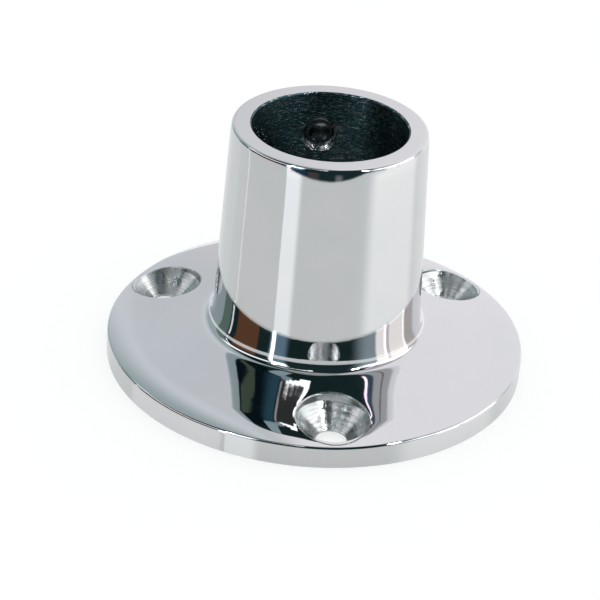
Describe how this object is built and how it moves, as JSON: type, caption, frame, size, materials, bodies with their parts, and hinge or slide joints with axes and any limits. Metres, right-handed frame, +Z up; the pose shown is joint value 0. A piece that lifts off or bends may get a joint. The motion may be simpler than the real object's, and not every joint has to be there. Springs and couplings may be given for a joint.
{
  "type": "tube clamp base flange",
  "caption": "Round cast base flange with a tapered upright tube socket, countersunk screw holes and a side set screw that clamps the tube.",
  "frame": {"origin": "middle of the base, on the plane where it meets the deck", "axes": "+Z up along the tube socket's axis; one screw hole is on -Y and the set screw is opposite it on +Y"},
  "size_m": [0.0706, 0.0706, 0.0427],
  "materials": {
    "polished_stainless": "mirror-polished cast stainless steel",
    "screw_stainless": "machined stainless steel, slightly darkened"
  },
  "bodies": {
    "flange": {"flange_base": "polished_stainless"},
    "clamp_screw": {"set_screw": "screw_stainless"}
  },
  "joints": [
    {"name": "set_screw_travel", "type": "slide", "parent": "flange", "child": "clamp_screw", "axis": [0, -1, 0], "range_m": [-0.001, 0.003]}
  ]
}
